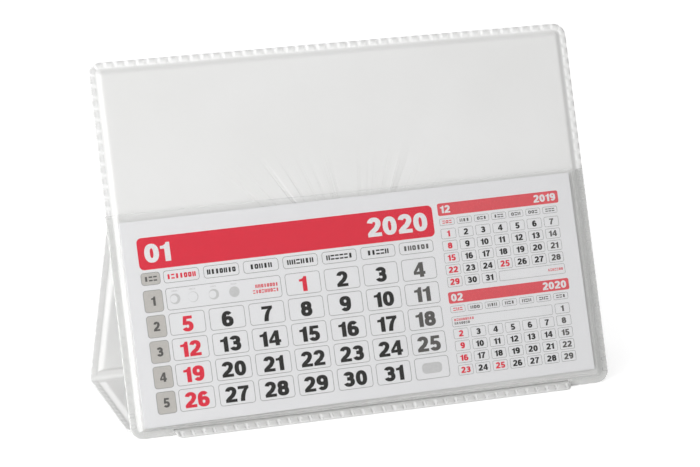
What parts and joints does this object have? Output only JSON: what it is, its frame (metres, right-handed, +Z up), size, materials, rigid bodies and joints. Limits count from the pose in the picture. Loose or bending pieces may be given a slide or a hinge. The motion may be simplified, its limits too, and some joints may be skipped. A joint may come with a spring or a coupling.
{
  "type": "desk calendar",
  "caption": "Desk calendar: a white welded vinyl stand with a clear pocket that holds loose printed month sheets, leaning on a folded leg and base.",
  "frame": {"origin": "on the table, under the middle of the bounding box", "axes": "+X across the panel to the reader's right, -Y out of the panel's face towards the reader, +Z up"},
  "size_m": [0.2002, 0.0676, 0.136],
  "materials": {
    "white_vinyl": "satin calendered film with a ribbed weld round its edge",
    "clear_film": "glossy clear film",
    "grey_board": "plain grey board",
    "printed_paper": "smooth coated paper with flat print"
  },
  "bodies": {
    "root": {"front_face_vinyl": "white_vinyl", "front_back_vinyl": "white_vinyl", "stand_inner_vinyl": "white_vinyl", "stand_outer_vinyl": "white_vinyl", "pocket_film": "clear_film", "front_board": "grey_board", "leg_board": "grey_board", "base_board": "grey_board", "month_sheet_01": "printed_paper", "month_sheet_02": "printed_paper", "month_sheet_03": "printed_paper", "month_sheet_04": "printed_paper", "month_sheet_05": "printed_paper", "month_sheet_06": "printed_paper", "month_sheet_07": "printed_paper", "month_sheet_08": "printed_paper", "month_sheet_09": "printed_paper", "month_sheet_10": "printed_paper", "month_sheet_11": "printed_paper", "month_sheet_12": "printed_paper"}
  },
  "joints": []
}
